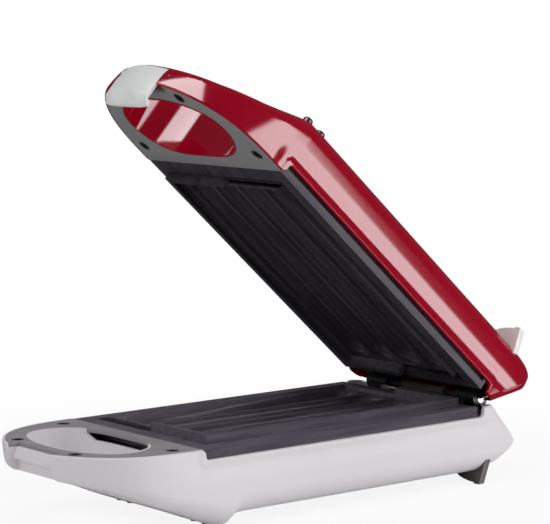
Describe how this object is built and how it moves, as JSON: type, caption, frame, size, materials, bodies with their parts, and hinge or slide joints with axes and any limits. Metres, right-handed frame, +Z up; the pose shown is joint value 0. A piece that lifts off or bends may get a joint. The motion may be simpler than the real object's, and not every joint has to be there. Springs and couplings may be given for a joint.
{
  "type": "churro maker",
  "caption": "Hinged churro maker: red and pale shells with looped handles, fluted non-stick castings, a hook latch and rear feet, standing half open.",
  "frame": {"origin": "middle of the standing part's outline box in X and Y, on the surface that it stands on", "axes": "+Z up, +Y from the handles towards the hinge, +X across to the side with the indicator lenses"},
  "size_m": [0.1126, 0.2812, 0.2209],
  "materials": {
    "shell_light": "moulded, soft gloss",
    "shell_red": "moulded, high gloss",
    "trim_grey": "fine satin",
    "coated_casting": "cast, dark non-stick coating",
    "zinc_screw": "zinc plated",
    "dark_screw": "blackened",
    "heater_sheath": "heat-stained sheath",
    "bright_sheet": "plain rolled sheet",
    "ceramic": "unglazed, pale",
    "hinge_black": "black enamel",
    "plain_steel": "ground rod",
    "foot_grey": "fine satin",
    "latch_white": "moulded, gloss",
    "black_rubber": "matte",
    "lens_red": "clear tinted",
    "lens_green": "clear tinted",
    "lamp_glass": "small neon tube",
    "board_cream": "laminate",
    "sleeve_dark": "woven fibreglass sleeve"
  },
  "bodies": {
    "base": {"base_housing": "shell_light", "base_trim": "trim_grey", "base_trim_screws": "dark_screw", "lower_plate": "coated_casting", "lower_plate_screws": "zinc_screw", "lower_heater": "heater_sheath", "lower_reflector": "bright_sheet", "lower_reflector_screws": "zinc_screw", "thermostat": "ceramic", "thermal_fuse": "ceramic", "terminal_block": "ceramic", "cord_gland": "black_rubber", "front_foot_pads": "black_rubber", "rear_feet": "foot_grey", "base_hinge_brackets": "hinge_black", "base_hinge_screws": "zinc_screw", "hinge_rod": "plain_steel", "hinge_spacers": "hinge_black", "wire_sleeve": "sleeve_dark"},
    "lid": {"lid_housing": "shell_red", "lid_trim": "trim_grey", "lid_trim_screws": "dark_screw", "upper_plate": "coated_casting", "upper_plate_screws": "zinc_screw", "upper_heater": "heater_sheath", "upper_reflector": "bright_sheet", "upper_reflector_screws": "zinc_screw", "lid_thermal_fuse": "ceramic", "lid_hinge_brackets": "hinge_black", "lid_hinge_screws": "zinc_screw", "lid_rests": "latch_white", "power_lens": "lens_red", "ready_lens": "lens_green", "power_lamp": "lamp_glass", "ready_lamp": "lamp_glass", "lamp_holder": "board_cream", "lamp_holder_screws": "zinc_screw", "latch_pin": "plain_steel"},
    "latch": {"latch_clip": "latch_white"}
  },
  "joints": [
    {"name": "lid_hinge", "type": "hinge", "parent": "base", "child": "lid", "pos_m": [0, 0.11276, 0.0426], "axis": [-1, 0, 0], "range_deg": [-42.3, 57.7]},
    {"name": "latch_pivot", "type": "hinge", "parent": "lid", "child": "latch", "pos_m": [0, -0.06945, 0.2153], "axis": [-1, 0, 0], "range_deg": [-8, 22]}
  ]
}
